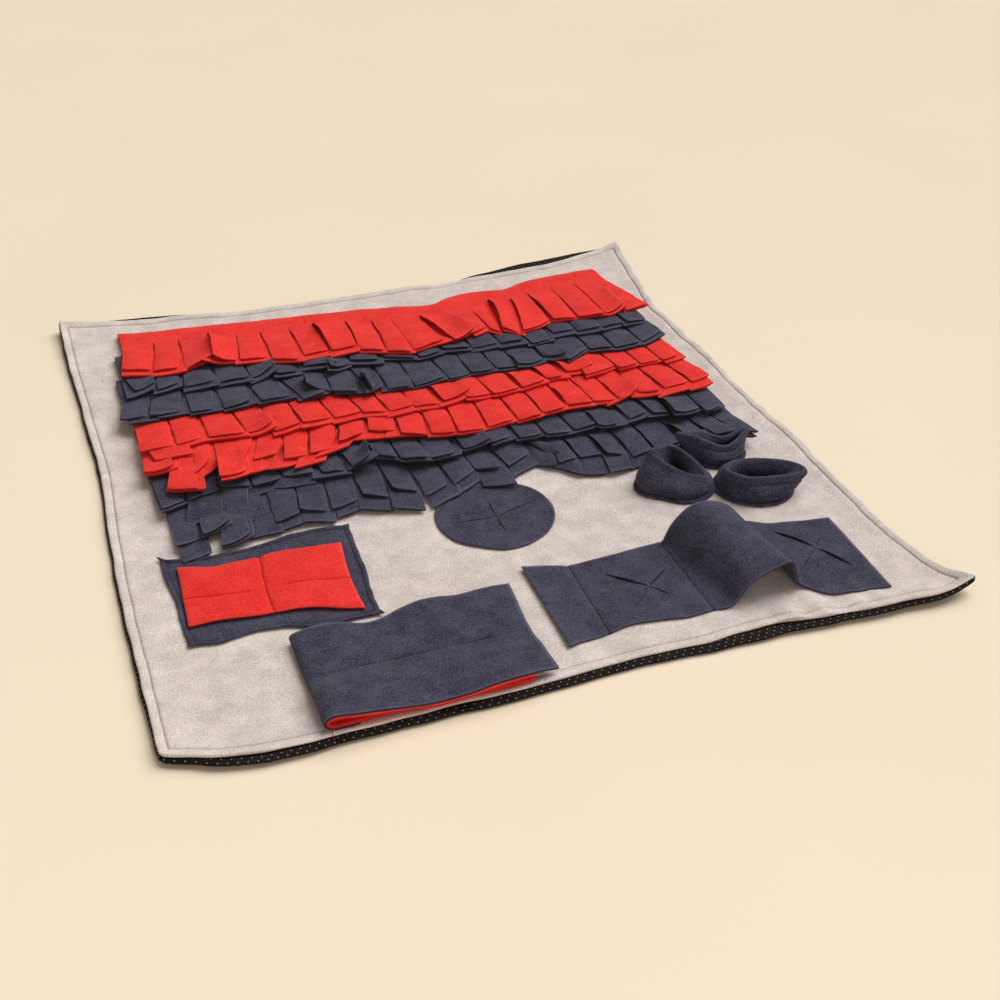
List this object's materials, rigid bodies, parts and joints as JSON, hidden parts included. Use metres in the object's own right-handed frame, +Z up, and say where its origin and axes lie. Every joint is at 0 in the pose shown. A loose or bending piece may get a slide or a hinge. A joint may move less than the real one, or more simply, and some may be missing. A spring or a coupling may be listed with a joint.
{
  "type": "snuffle mat",
  "caption": "Soft fleece mat for hiding dry treats, with rows of cut fringe, a folded pocket, an arched strip, slit patches and soft cups on a non-slip backing.",
  "frame": {"origin": "under the middle of the mat, on the surface that it lies on", "axes": "+X to the right along the fringe rows, +Y to the back edge beyond the first fringe row, +Z up out of the mat"},
  "size_m": [0.7317, 0.809, 0.0446],
  "materials": {
    "grey_fleece": "light grey brushed fleece",
    "grip_backing": "black cloth with small white grip dots",
    "red_fleece": "bright red brushed fleece",
    "navy_fleece": "dark navy brushed fleece"
  },
  "bodies": {
    "root": {"base_backing": "grip_backing", "base_fleece": "grey_fleece", "fringe_row_1": "red_fleece", "fringe_row_2": "navy_fleece", "fringe_row_3": "navy_fleece", "fringe_row_4": "red_fleece", "fringe_row_5": "red_fleece", "fringe_row_6": "navy_fleece", "fringe_row_7": "navy_fleece", "disc": "navy_fleece", "patch": "navy_fleece", "patch_pocket": "red_fleece", "roll_pocket": "navy_fleece", "roll_lining": "red_fleece", "tunnel_strip": "navy_fleece", "cup_1": "navy_fleece", "cup_2": "navy_fleece", "cup_3": "navy_fleece"}
  },
  "joints": []
}
